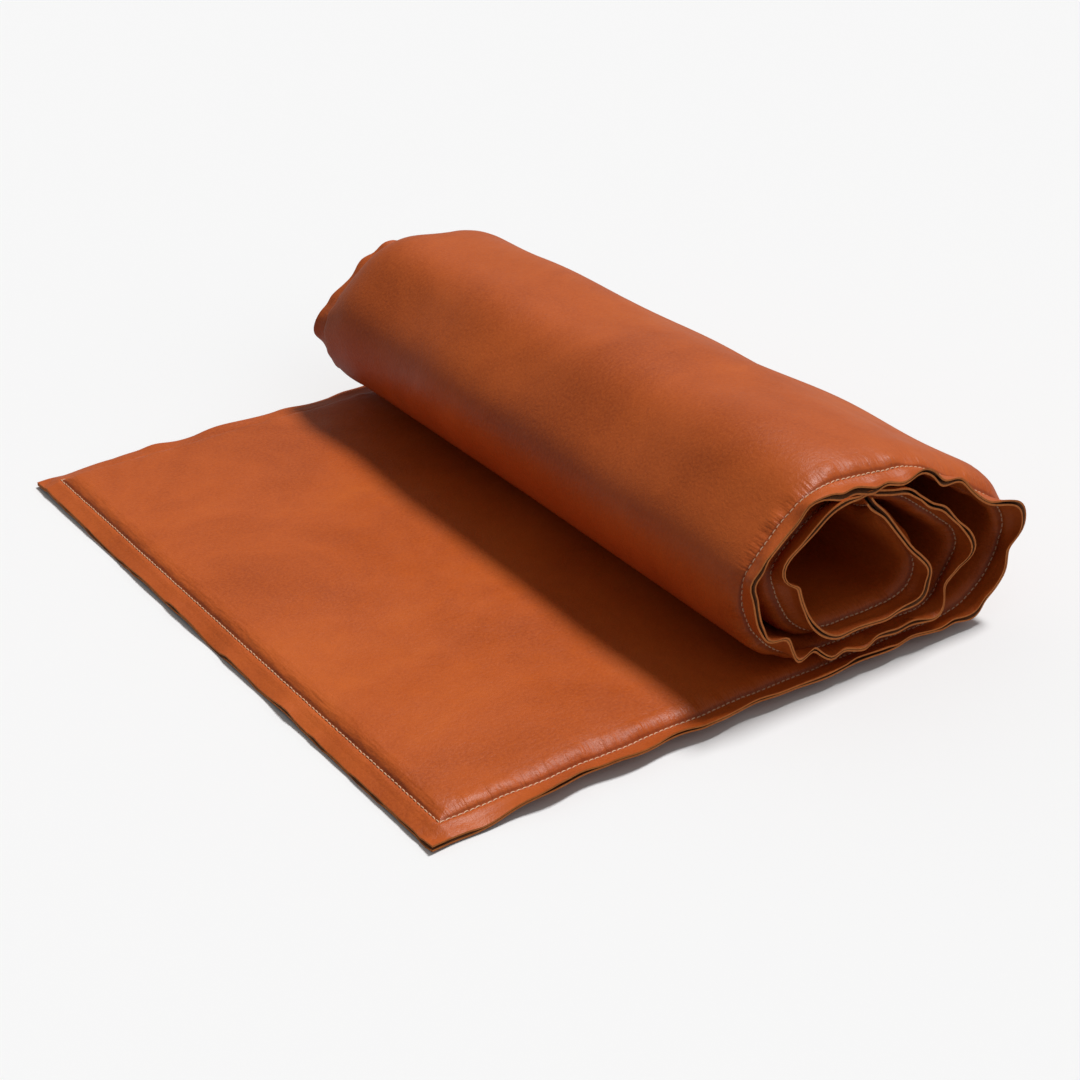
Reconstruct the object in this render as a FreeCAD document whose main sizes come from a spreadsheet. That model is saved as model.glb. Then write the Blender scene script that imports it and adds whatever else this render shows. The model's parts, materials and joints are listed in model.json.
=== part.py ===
"""Padded leather roll mat, partly rolled: two hides stitched round a thin padding.

The mat lies open at its front end and is rolled up towards its back end, face inwards.
Its section (across Y) is the same everywhere but at the two ends, so every stretch is
that section carried along a stretch of the route (in XZ) that the mat's middle follows.
A soft mat bends anywhere.  Here it bends at folds between strips: six front strips curl
up over the roll, and five turn strips let the roll open out along the floor.  The roll
keeps its shape, so its padding is one piece and its hides are cut only for handling.
Millimetres, +Z up, Y across the mat, X from the open front end towards the roll.
"""
import FreeCAD, Part
import math
import os
import Sketcher

SIZES = {
    # the mat's section
    "mat_width": 600.0,  # edge to edge, along the roll's axis
    "seam_allowance": 18.0,  # raw edge to stitch row
    "stitch_margin": 2.5,  # stitch row to the foot of the padding
    "shoulder": 14.0,  # width of the slope up to full thickness
    "padding_thickness": 11.8,
    "padding_edge": 1.4,  # thickness of the padding's thinned edge
    "padding_setback": 2.0,  # thinned edge to the foot of the hide's slope
    "hide_thickness": 1.3,
    "hide_gap": 0.3,  # between the two hides outside the stitch row
    "padding_ease": 0.3,  # between padding and hide
    # the open front and the bed under the roll
    "front_strip": 48.4,  # length of one front strip
    "fold_gap": 0.2,  # between neighbouring strips
    "roll_centre": 82.0,  # from the first front fold to the roll's middle
    "roll_centre_height": 80.0,
    # how far each side of the outer turn stands from the roll's middle
    "nose_reach": 127.0,
    "slope_reach": 64.2,
    "top_reach": 61.0,
    "crown_reach": 88.0,
    "back_reach": 106.6,
    # how far inside the outer turn the second turn lies, beyond one layer
    "nose_slack": 28.0,
    "slope_slack": 4.4,
    "top_slack": 0.4,
    "crown_slack": 0.8,
    "back_slack": 14.0,
    "layer_gap": 0.6,  # between layers that lie on each other
    # bend radii of the mat's middle, where it turns into each side and into the floor
    "nose_radius": 60.0,
    "slope_radius": 33.0,
    "top_radius": 90.0,
    "crown_radius": 50.0,
    "back_radius": 30.0,
    "floor_radius": 72.0,
    "inner_nose_radius": 28.0,
    "inner_slope_radius": 22.0,
    "inner_top_radius": 40.0,
    "inner_crown_radius": 34.0,
    "inner_back_radius": 16.0,
    "inner_floor_radius": 46.0,
    "tongue_radius": 21.0,
    # the back end of the mat, which stands up inside the roll
    "tongue_foot": 72.0,  # its corner on the floor of the roll, from the roll's middle
    "tongue_length": 106.4,  # from that corner to the raw edge
    "panel_ease": 3.0,  # between the tongue's bend and the slope of its end
    "shortest_run": 1.0,  # straight left between two bends that fill their side
}
FRONT_STRIPS = 6
TURN_STRIPS = 5
# how many bends there are in each stretch of the roll's hides, before its flat end
ROLL_BENDS = (1, 1, 1, 1, 1, 1, 2, 1, 1, 1)
# directions of travel round the roll, in degrees from +X towards +Z
FLOOR_ANGLE, TONGUE_ANGLE, FULL_ANGLE = 0.0, 134.0, 360.0
OUTER_ANGLES = {"nose": 65.0, "slope": 148.5, "top": 173.0, "crown": 220.0, "back": 286.0}
INNER_ANGLES = {"nose": 60.0, "slope": 143.0, "top": 173.0, "crown": 220.0, "back": 298.0}


class Size:
    """A length that knows its value and the sheet expression that gives it."""

    def __init__(self, value, text):
        self.value, self.text = value, text

    def __add__(self, other):
        other = as_size(other)
        return Size(self.value + other.value, f"({self.text} + {other.text})")

    def __sub__(self, other):
        other = as_size(other)
        return Size(self.value - other.value, f"({self.text} - {other.text})")

    def __mul__(self, number):
        return Size(self.value * number, f"({self.text} * {number})")

    def __truediv__(self, number):
        return Size(self.value / number, f"({self.text} / {number})")

    def __neg__(self):
        return Size(-self.value, f"(-1 * {self.text})")


def as_size(number):
    return number if isinstance(number, Size) else Size(number, f"{number} mm")


def size(name):
    return Size(SIZES[name], f"sizes.{name} * 1 mm")


def make_sheet(doc):
    sheet = doc.addObject("Spreadsheet::Sheet", "sizes")
    for row, (name, value) in enumerate(SIZES.items(), start=1):
        sheet.set(f"A{row}", name)
        sheet.set(f"B{row}", str(value))
        sheet.setAlias(f"B{row}", name)
    doc.recompute()
    return sheet


# derived sizes

half_width = size("mat_width") / 2
seam_line = half_width - size("seam_allowance")
slope_foot = seam_line - size("stitch_margin")
slope_top = slope_foot - size("shoulder")
seam_inside = size("hide_gap") / 2
seam_outside = seam_inside + size("hide_thickness")
pad_inside = size("padding_thickness") / 2 + size("padding_ease")
pad_outside = pad_inside + size("hide_thickness")
thickness = pad_outside.value * 2
layer = thickness + SIZES["layer_gap"]
end_margin = size("seam_allowance") + size("stitch_margin")
end_panel = end_margin + size("shoulder") + size("panel_ease")
half_fold = SIZES["fold_gap"] / 2
front_length = FRONT_STRIPS * SIZES["front_strip"]


# the route in XZ


class Line:
    """A straight stretch of the route."""

    def __init__(self, x, z, direction, length):
        self.x, self.z, self.direction, self.length = x, z, direction, length
        self.turn = 0.0

    def at(self, s):
        angle = math.radians(self.direction)
        return (
            self.x + s * math.cos(angle),
            self.z + s * math.sin(angle),
            self.direction,
        )

    def part(self, start, stop):
        x, z, direction = self.at(start)
        return Line(x, z, direction, stop - start)


class Bend:
    """An arc of the route that turns left, from +X towards +Z."""

    def __init__(self, x, z, direction, turn, radius):
        self.x, self.z, self.direction, self.turn, self.radius = (
            x,
            z,
            direction,
            turn,
            radius,
        )
        self.length = math.radians(turn) * radius.value

    def centre(self):
        angle = math.radians(self.direction)
        r = self.radius.value
        return self.x - r * math.sin(angle), self.z + r * math.cos(angle)

    def at(self, s):
        direction = self.direction + math.degrees(s / self.radius.value)
        angle = math.radians(direction)
        cx, cz = self.centre()
        r = self.radius.value
        return cx + r * math.sin(angle), cz - r * math.cos(angle), direction

    def part(self, start, stop):
        x, z, direction = self.at(start)
        turn = math.degrees((stop - start) / self.radius.value)
        return Bend(x, z, direction, turn, self.radius)


class Route:
    """Tangent lines and bends, one after the other."""

    def __init__(self, pieces):
        self.pieces = pieces
        self.length = sum(p.length for p in pieces)

    def at(self, s):
        for piece in self.pieces:
            if s <= piece.length:
                return piece.at(s)
            s -= piece.length
        last = self.pieces[-1]
        return last.at(last.length + s)

    def slice(self, start, stop):
        """The stretch between two distances along the route."""
        found, begun = [], 0.0
        for piece in self.pieces:
            low = max(start - begun, 0.0)
            high = min(stop - begun, piece.length)
            if high - low > 1e-6:
                found.append(piece.part(low, high))
            begun += piece.length
        return Route(found)

    def where_turned(self, turned):
        """The distance at which the route has turned by that many degrees in all."""
        begun = 0.0
        for piece in self.pieces:
            if piece.turn and turned <= piece.turn:
                return begun + math.radians(turned) * piece.radius.value
            turned -= piece.turn
            begun += piece.length
        return begun


class Side:
    """An endless line of travel: its direction and its distance from the roll's middle."""

    def __init__(self, direction, reach):
        self.direction = direction
        angle = math.radians(direction)
        self.normal = (math.sin(angle), -math.cos(angle))
        self.offset = reach + (
            SIZES["roll_centre"] * self.normal[0]
            + SIZES["roll_centre_height"] * self.normal[1]
        )


def level(height):
    """The side that travels along +X at this height."""
    return Side(FLOOR_ANGLE, SIZES["roll_centre_height"] - height)


def corner(a, b):
    """Where two sides cross."""
    (ax, az), (bx, bz) = a.normal, b.normal
    det = ax * bz - az * bx
    x = (a.offset * bz - b.offset * az) / det
    z = (ax * b.offset - bx * a.offset) / det
    return x, z


def rounded_route(start, sides, radii, last_length, last_flat):
    """Follows the sides in turn from start, with each corner rounded.

    last_length is how far the route runs on past the last sharp corner, and last_flat how
    much of that is straight.  A bend wider than the sides it joins is narrowed to fit.
    """
    pairs = list(zip(sides, sides[1:]))
    corners = [corner(before, after) for before, after in pairs]
    turns = [(after.direction - before.direction) % FULL_ANGLE for before, after in pairs]
    cuts = [r.value * math.tan(math.radians(t) / 2) for r, t in zip(radii, turns)]
    spans = [math.dist(p, q) for p, q in zip([start] + corners, corners)]
    spans.append(last_length - last_flat)
    taken = [a + b for a, b in zip([0.0] + cuts, cuts + [0.0])]
    fits = [(s - SIZES["shortest_run"]) / t for s, t in zip(spans, taken)]
    pieces = []
    x, z = start
    for n, (cx, cz) in enumerate(corners):
        narrowed = min(fits[n], fits[n + 1], 1.0)
        radius = radii[n] if narrowed == 1.0 else radii[n] * narrowed
        run = math.hypot(cx - x, cz - z) - cuts[n] * narrowed
        pieces.append(Line(x, z, sides[n].direction, run))
        x, z, _ = pieces[-1].at(run)
        pieces.append(Bend(x, z, sides[n].direction, turns[n], radius))
        x, z, _ = pieces[-1].at(pieces[-1].length)
    rest = last_length - cuts[-1] * narrowed
    pieces.append(Line(x, z, sides[-1].direction, rest))
    return Route(pieces)


def roll_route():
    """The middle of the mat, from the first front fold to the raw edge at the back."""
    sides = [level(thickness / 2)]
    radii = []
    for lap, (turn, prefix) in enumerate([(OUTER_ANGLES, ""), (INNER_ANGLES, "inner_")]):
        for name, direction in turn.items():
            inset = lap * (layer + SIZES[f"{name}_slack"])
            sides.append(Side(direction, SIZES[f"{name}_reach"] - inset))
            radii.append(size(f"{prefix}{name}_radius"))
        sides.append(level(thickness / 2 + (lap + 1) * layer))
        radii.append(size(f"{prefix}floor_radius"))
    tongue = Side(TONGUE_ANGLE, 0.0)
    foot_x = SIZES["roll_centre"] + SIZES["tongue_foot"]
    foot_z = thickness / 2 + 2 * layer
    tongue.offset = foot_x * tongue.normal[0] + foot_z * tongue.normal[1]
    sides.append(tongue)
    radii.append(size("tongue_radius"))
    start = (0.0, thickness / 2)
    return rounded_route(start, sides, radii, SIZES["tongue_length"], end_panel.value)


# sections in YZ


def hide_loops(face):
    """The hide on one face of the padding: +1 the upper face, -1 the underside."""
    outside = [
        (-half_width, seam_outside),
        (-slope_foot, seam_outside),
        (-slope_top, pad_outside),
        (slope_top, pad_outside),
        (slope_foot, seam_outside),
        (half_width, seam_outside),
    ]
    inside = [
        (half_width, seam_inside),
        (slope_foot, seam_inside),
        (slope_top, pad_inside),
        (-slope_top, pad_inside),
        (-slope_foot, seam_inside),
        (-half_width, seam_inside),
    ]
    return [[(y, z if face > 0 else -z) for y, z in outside + inside]]


def padding_loops():
    edge = slope_foot - size("padding_setback")
    thin, full = size("padding_edge") / 2, size("padding_thickness") / 2
    right = [(slope_top, -full), (edge, -thin), (edge, thin), (slope_top, full)]
    left = [(-y, -z) for y, z in right]
    return [right + left]


LOOPS = {
    "top_hide": hide_loops(+1),
    "bottom_hide": hide_loops(-1),
    "padding": padding_loops(),
}


# features


def origin_plane(body, role):
    return next(f for f in body.Origin.OriginFeatures if f.Role == role)


def new_sketch(body, role, name, place):
    sketch = body.newObject("Sketcher::SketchObject", name)
    sketch.AttachmentSupport = (origin_plane(body, role), [""])
    sketch.MapMode = "FlatFace"
    sketch.AttachmentOffset = place
    return sketch


def fix_distance(sketch, kind, edge, end, length):
    """Holds a vertex at a signed distance from the sketch's origin."""
    if length.value >= 0:
        points, held = (-1, 1, edge, end), length
    else:
        points, held = (edge, end, -1, 1), -length
    index = sketch.addConstraint(Sketcher.Constraint(kind, *points, held.value))
    sketch.setExpression(f"Constraints[{index}]", held.text)


def draw_loop(sketch, loop):
    """A closed outline whose every vertex is held by two sizes."""
    first = sketch.GeometryCount
    count = len(loop)
    ends = [FreeCAD.Vector(y.value, z.value, 0) for y, z in loop]
    for i in range(count):
        sketch.addGeometry(Part.LineSegment(ends[i], ends[(i + 1) % count]), False)
    for i in range(count):
        join = Sketcher.Constraint(
            "Coincident", first + i, 2, first + (i + 1) % count, 1
        )
        sketch.addConstraint(join)
    for i, (y, z) in enumerate(loop):
        fix_distance(sketch, "DistanceX", first + i, 1, y)
        fix_distance(sketch, "DistanceY", first + i, 1, z)


def draw_axis(sketch, radius):
    """A construction line across the mat at the middle of a bend."""
    height = radius.value
    start, stop = FreeCAD.Vector(-height, height, 0), FreeCAD.Vector(height, height, 0)
    axis = sketch.addGeometry(Part.LineSegment(start, stop), True)
    for end in (1, 2):
        fix_distance(sketch, "DistanceY", axis, end, radius)
    fix_distance(sketch, "DistanceX", axis, 1, -radius)
    fix_distance(sketch, "DistanceX", axis, 2, radius)


def draw_spine(sketch, route):
    """The route itself, from its start at the sketch's origin."""
    x0, z0, first = route.at(0.0)
    turned = math.radians(first)

    def local(x, z):
        dx, dz = x - x0, z - z0
        return FreeCAD.Vector(
            dx * math.cos(turned) + dz * math.sin(turned),
            dz * math.cos(turned) - dx * math.sin(turned),
            0,
        )

    for piece in route.pieces:
        start, stop = piece.at(0.0), piece.at(piece.length)
        if piece.turn:
            circle = Part.Circle(
                local(*piece.centre()), FreeCAD.Vector(0, 0, 1), piece.radius.value
            )
            quarter = math.pi / 2 + turned
            low, high = (math.radians(p[2]) - quarter for p in (start, stop))
            edge = Part.ArcOfCircle(circle, low, high)
        else:
            edge = Part.LineSegment(local(*start[:2]), local(*stop[:2]))
        index = sketch.addGeometry(edge, False)
        if index:
            join = Sketcher.Constraint("Coincident", index - 1, 2, index, 1)
            sketch.addConstraint(join)


def carry_section(body, loops, route):
    """Carries a section along a route that starts at the body's origin, along +X."""
    for n, loop in enumerate(loops):
        sketch = new_sketch(body, "YZ_Plane", f"section{n}_", FreeCAD.Placement())
        draw_loop(sketch, loop)
        if len(route.pieces) > 1:
            spine = new_sketch(body, "XZ_Plane", f"spine{n}_", FreeCAD.Placement())
            draw_spine(spine, route)
            made = body.newObject("PartDesign::AdditivePipe", f"run{n}_")
            edges = [f"Edge{i + 1}" for i in range(len(route.pieces))]
            made.Spine = (spine, edges)
        elif route.pieces[0].turn:
            draw_axis(sketch, route.pieces[0].radius)
            made = body.newObject("PartDesign::Revolution", f"turn{n}_")
            made.ReferenceAxis = (sketch, ["Axis0"])
            made.Angle = route.pieces[0].turn
            made.Reversed = True
        else:
            made = body.newObject("PartDesign::Pad", f"length{n}_")
            made.Length = route.pieces[0].length
        made.Profile = sketch


def set_lengths(feature, **lengths):
    for name, length in lengths.items():
        setattr(feature, name, length.value)
        feature.setExpression(name, length.text)


def add_block(body, name, place, start, length, half, low, high):
    """A plain slab, from start along X, half to each side, between two heights."""
    box = body.newObject("PartDesign::AdditiveBox", name)
    set_lengths(box, Length=length, Width=half * 2, Height=high - low)
    corner_at = FreeCAD.Vector(start, -half.value, low.value)
    box.Placement = place * FreeCAD.Placement(corner_at, FreeCAD.Rotation())


def add_pillow(body, kind, name, place, face, low, high, long_foot, foot, top):
    """A wedge with sloping sides and a sloping far end, on one face of the mat."""
    wedge = body.newObject(f"PartDesign::{kind}Wedge", name)
    slope = foot - top
    set_lengths(
        wedge,
        Xmin=as_size(0.0),
        X2min=as_size(0.0),
        Xmax=long_foot,
        X2max=long_foot - slope,
        Zmin=-foot,
        Zmax=foot,
        Z2min=-top,
        Z2max=top,
        Ymin=low,
        Ymax=high,
    )
    upright = FreeCAD.Rotation(FreeCAD.Vector(1, 0, 0), 90 * face)
    wedge.Placement = place * FreeCAD.Placement(FreeCAD.Vector(), upright)


def add_end_panel(body, kind, place, length):
    """The last stretch of the mat, with the seam across its end as well."""
    foot_at = length - end_margin
    if kind == "padding":
        thin, full = size("padding_edge") / 2, size("padding_thickness") / 2
        edge, setback = slope_foot - size("padding_setback"), size("padding_setback")
        reach = foot_at - setback
        add_block(body, "end_core", place, 0.0, reach, edge, -thin, thin)
        for face, name in ((1, "end_upper"), (-1, "end_lower")):
            add_pillow(
                body, "Additive", name, place, face, thin, full, reach, edge, slope_top
            )
        return
    face = 1 if kind == "top_hide" else -1
    low, high = (
        (seam_inside, seam_outside) if face > 0 else (-seam_outside, -seam_inside)
    )
    add_block(body, "end_flange", place, 0.0, length, half_width, low, high)
    add_pillow(
        body, "Additive", "end_outside", place, face,
        seam_outside, pad_outside, foot_at, slope_foot, slope_top,
    )
    add_pillow(
        body, "Subtractive", "end_inside", place, face,
        seam_inside, pad_inside, foot_at, slope_foot, slope_top,
    )


def placed(x, z, direction):
    turn = FreeCAD.Rotation(FreeCAD.Vector(0, 1, 0), -direction)
    return FreeCAD.Placement(FreeCAD.Vector(x, 0, z), turn)


def new_body(doc, name):
    body = doc.addObject("PartDesign::Body", name)
    body.Label = name
    body.AllowCompound = True
    return body


def make_strip(doc, strip, route):
    """The three layers of a strip that has seams along its two sides only."""
    for kind, loops in LOOPS.items():
        body = new_body(doc, f"{strip}_{kind}")
        carry_section(body, loops, route)
        body.Placement = placed(*route.at(0.0))


def make_free_end(doc, strip, x):
    """The front strip that ends at the mat's open edge, which points to -X."""
    length = size("front_strip") - half_fold
    for kind in LOOPS:
        body = new_body(doc, f"{strip}_{kind}")
        add_end_panel(body, kind, FreeCAD.Placement(), length)
        about = FreeCAD.Rotation(FreeCAD.Vector(0, 0, 1), 180)
        body.Placement = FreeCAD.Placement(
            FreeCAD.Vector(x - half_fold, 0, thickness / 2), about
        )


def hide_ends(route):
    """Distances along the roll at which its hides are cut, each halfway along a side."""
    ends, bends, travelled = [0.0], 0, 0.0
    for piece in route.pieces:
        if piece.turn:
            bends += 1
        elif bends == ROLL_BENDS[len(ends) - 1]:
            ends.append(travelled + piece.length / 2)
            bends = 0
        travelled += piece.length
    ends[-1] = route.length - end_panel.value
    return ends


def make_roll(doc, strip, route):
    """All that follows the last turn strip, with the end seam on the tongue."""
    ends = hide_ends(route)
    wound = route.slice(0.0, ends[-1])
    start, stop = placed(*route.at(0.0)), placed(*wound.at(wound.length))
    body = new_body(doc, f"{strip}_padding")
    carry_section(body, LOOPS["padding"], wound)
    add_end_panel(body, "padding", start.inverse() * stop, end_panel)
    body.Placement = start
    for kind in ("top_hide", "bottom_hide"):
        for n, (low, high) in enumerate(zip(ends, ends[1:]), start=1):
            stretch = route.slice(low, high)
            body = new_body(doc, f"{strip}_{n}_{kind}")
            carry_section(body, LOOPS[kind], stretch)
            body.Placement = placed(*stretch.at(0.0))
        body = new_body(doc, f"{strip}_end_{kind}")
        add_end_panel(body, kind, FreeCAD.Placement(), end_panel)
        body.Placement = stop


# the whole mat

doc = FreeCAD.newDocument("roll_mat")
make_sheet(doc)
route = roll_route()

# distances along the route at which the turn strips meet
opening = OUTER_ANGLES["slope"] - FLOOR_ANGLE
turn_folds = [
    route.pieces[0].length if n == 0 else route.where_turned(opening * n / TURN_STRIPS)
    for n in range(TURN_STRIPS + 1)
]

for n in range(1, FRONT_STRIPS):
    begin = -n * SIZES["front_strip"] + half_fold
    stretch = Line(begin, thickness / 2, FLOOR_ANGLE, SIZES["front_strip"] - 2 * half_fold)
    make_strip(doc, f"front_{n}", Route([stretch]))
make_free_end(doc, f"front_{FRONT_STRIPS}", -(FRONT_STRIPS - 1) * SIZES["front_strip"])
make_strip(doc, "bed", route.slice(half_fold, turn_folds[0] - half_fold))
for n in range(1, TURN_STRIPS + 1):
    stretch = route.slice(turn_folds[n - 1] + half_fold, turn_folds[n] - half_fold)
    make_strip(doc, f"turn_{n}", stretch)
make_roll(doc, "roll", route.slice(turn_folds[-1] + half_fold, route.length))

# the frame's origin is on the floor, in the middle of the whole
nose = route.pieces[3]
right_end = nose.centre()[0] + nose.radius.value + thickness / 2
middle = (right_end - front_length) / 2
shift = FreeCAD.Placement(FreeCAD.Vector(-middle, 0, 0), FreeCAD.Rotation())
bodies = [o for o in doc.Objects if o.TypeId == "PartDesign::Body"]
for body in bodies:
    body.Placement = shift * body.Placement

doc.recompute()
failed = [o.Name for o in doc.Objects if {"Invalid", "Error"} & set(o.State)]
if failed:
    raise RuntimeError(f"these objects failed: {failed}")
for body in bodies:
    if body.Shape.isNull() or not body.Shape.isValid() or not body.Shape.Solids:
        raise RuntimeError(f"{body.Label} has no sound shape")

os.makedirs("parts", exist_ok=True)
for body in bodies:
    body.Shape.exportStep(f"parts/{body.Label}.step")

mat_length = front_length + route.length
print(f"{len(bodies)} sub-parts; mat {mat_length:.0f} x {SIZES['mat_width']:.0f} mm")
print(f"thickness {thickness:.1f}, one layer {layer:.1f}, middle at x = {middle:.1f}")
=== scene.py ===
import json
import math

import bpy
import numpy as np
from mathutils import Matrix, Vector


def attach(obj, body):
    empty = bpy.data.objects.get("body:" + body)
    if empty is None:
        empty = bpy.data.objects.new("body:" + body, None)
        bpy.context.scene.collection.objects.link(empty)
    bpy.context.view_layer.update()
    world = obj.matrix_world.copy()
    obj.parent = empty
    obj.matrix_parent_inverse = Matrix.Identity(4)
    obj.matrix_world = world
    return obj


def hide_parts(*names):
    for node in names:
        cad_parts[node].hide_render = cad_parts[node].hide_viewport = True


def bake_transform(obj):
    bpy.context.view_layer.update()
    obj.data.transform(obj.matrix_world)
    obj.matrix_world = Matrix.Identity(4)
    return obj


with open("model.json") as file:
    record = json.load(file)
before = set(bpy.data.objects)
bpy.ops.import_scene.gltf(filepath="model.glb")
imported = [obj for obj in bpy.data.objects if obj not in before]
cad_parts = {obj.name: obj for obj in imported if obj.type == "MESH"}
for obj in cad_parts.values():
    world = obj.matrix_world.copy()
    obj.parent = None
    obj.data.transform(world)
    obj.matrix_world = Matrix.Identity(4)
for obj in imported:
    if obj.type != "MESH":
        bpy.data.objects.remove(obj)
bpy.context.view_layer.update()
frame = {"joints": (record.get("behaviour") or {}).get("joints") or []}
joints = {joint["name"]: joint for joint in frame["joints"]}
print("frame loaded")


# the flat mat, in metres
mat = {
    "width": 0.600,
    "seam": 0.0148,  # raw edge to stitch row
    "shoulder": 0.0180,  # stitch row to full thickness
    "crown": 2.8,  # how steeply the shoulder starts
    "hide": 0.0013,
    "flangeHalf": 0.0015,  # middle of the mat to the outside of a hide at the raw edge
    "fullHalf": 0.0075,  # the same over the padding
    "groove": 0.0010,
    "grooveWidth": 0.0016,
    "pinched": 0.00005,  # middle of the mat to the inside of a hide where the stitches pull
    "frontStrip": 0.0484,
    "frontStrips": 6,
}
halfWidth = mat["width"] / 2
frontLength = mat["frontStrip"] * mat["frontStrips"]

# where the middle of the mat runs, seen from the side, starting at the first front fold
path = {
    "middle": (0.082, 0.080),  # of the roll, from that fold and above the floor
    "tongue": 0.1064,  # from its foot to the back edge
    "softness": 0.009,
    "step": 0.0005,
    # travel in degrees, distance from the roll's middle, radius of the bend into this side
    "sides": (
        (0.0, 0.0725, 0.0),
        (65.0, 0.127, 0.060),
        (148.5, 0.0642, 0.033),
        (173.0, 0.061, 0.090),
        (220.0, 0.088, 0.050),
        (286.0, 0.1066, 0.030),
        (360.0, 0.0569, 0.072),
        (420.0, 0.0834, 0.028),
        (503.0, 0.0442, 0.022),
        (533.0, 0.0450, 0.040),
        (580.0, 0.0716, 0.034),
        (658.0, 0.0770, 0.016),
        (720.0, 0.0413, 0.046),
        (854.0, 0.0231, 0.021),
    ),
}


def smoothStep(low, high, value):
    # from 0 at low to 1 at high, which may be the smaller number
    t = np.clip((value - low) / (high - low), 0.0, 1.0)
    return t * t * (3 - 2 * t)


def sideNormal(side):
    angle = math.radians(side[0])
    return [math.sin(angle), -math.cos(angle)]


def bell(softness, step, widths):
    # the weights of a soft average, and how many steps it reaches to each side
    reach = int(widths * softness / step)
    weights = np.exp(-0.5 * (np.arange(-reach, reach + 1) * step / softness) ** 2)
    return reach, weights / weights.sum()


def drawRoute():
    # straight runs and bends as (length, turn), then added up in small steps
    sides = path["sides"]
    corners = [
        np.linalg.solve([sideNormal(a), sideNormal(b)], [a[1], b[1]]) + path["middle"]
        for a, b in zip(sides, sides[1:])
    ]
    stretches = []
    before = np.array([-frontLength, path["middle"][1] - sides[0][1]])
    cutBefore = 0.0
    for corner, side, nextSide in zip(corners, sides, sides[1:]):
        turn = math.radians(nextSide[0] - side[0])
        cut = nextSide[2] * math.tan(turn / 2)
        stretches.append((np.linalg.norm(corner - before) - cutBefore - cut, 0.0))
        stretches.append((nextSide[2] * turn, turn))
        before, cutBefore = corner, cut
    stretches.append((path["tongue"] - cutBefore, 0.0))
    ends = np.cumsum([0.0] + [length for length, turn in stretches])
    headings = np.cumsum([0.0] + [turn for length, turn in stretches])
    count = int(ends[-1] / path["step"])
    distance = np.linspace(0.0, ends[-1], count + 1)
    middles = (distance[1:] + distance[:-1]) / 2
    angle = np.interp(middles, ends, headings)
    step = distance[1]
    x = np.concatenate([[0.0], np.cumsum(np.cos(angle)) * step]) - frontLength
    z = np.concatenate([[0.0], np.cumsum(np.sin(angle)) * step]) + mat["fullHalf"]
    reach, weights = bell(path["softness"], step, 4)
    soft = []
    for line in (x, z):
        padded = np.pad(line, reach, mode="reflect", reflect_type="odd")
        soft.append(np.convolve(padded, weights, mode="valid"))
    x, z = soft
    x = x + joints["front_curl_1"]["pos_m"][0]
    alongX, alongZ = np.gradient(x), np.gradient(z)
    size = np.hypot(alongX, alongZ)
    heading = np.degrees(np.interp(distance, ends, headings))
    return distance, x, z, -alongZ / size, alongX / size, heading


route = drawRoute()
matLength = route[0][-1]


def onRoute(s):
    return [np.interp(s, route[0], line) for line in route[1:]]


def distanceOfFold(name):
    # folds of the turn lie on the outer face, folds of the front on the upper face
    x, z = joints[name]["pos_m"][0], joints[name]["pos_m"][2]
    face = 1 if name.startswith("front") else -1
    distance, routeX, routeZ, normalX, normalZ, heading = route
    offset = face * mat["fullHalf"]
    away = np.hypot(routeX + normalX * offset - x, routeZ + normalZ * offset - z)
    away[heading > 180] = np.inf  # the folds are all in the first half turn
    return float(distance[np.argmin(away)])


frontNumbers = range(mat["frontStrips"], 0, -1)
turnFolds = 6
strips = [f"front_{n}" for n in frontNumbers] + ["bed"]
strips += [f"turn_{n}" for n in range(1, turnFolds)] + ["roll"]
foldNames = [f"front_curl_{n}" for n in frontNumbers]
foldNames += [f"turn_open_{n}" for n in range(1, turnFolds + 1)]
folds = [distanceOfFold(name) for name in foldNames]
intoRoll = 0.022  # how far the stretch at the last fold runs on into the roll
cuts = [0.0] + [(a + b) / 2 for a, b in zip(folds, folds[1:])] + [folds[-1] + intoRoll, matLength]
firstTurn = mat["frontStrips"]
turnStart = folds[firstTurn]
print(f"mat {matLength:.3f} m long, {len(cuts) - 1} stretches")


# where each random pattern starts
seeds = {
    "near": 11,
    "far": 23,
    "uneven": 31,
    "ends": 41,
    "gap": 51,
    "pucker": 61,
    "swell": 71,
    "wander": 81,
    "wobble": 5,
    "slant": 6,
}


def softNoise(seed, x, y, size, count=7):
    # gentle waves in many directions, about 1 high, around the given wavelength
    rng = np.random.default_rng(seed)
    total = 0.0
    for wave in range(count):
        angle, phase = rng.uniform(0, 2 * math.pi, 2)
        turns = 2 * math.pi / (size * rng.uniform(0.7, 1.5))
        total = total + np.sin((x * math.cos(angle) + y * math.sin(angle)) * turns + phase)
    return total * math.sqrt(2.0 / count)


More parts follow.
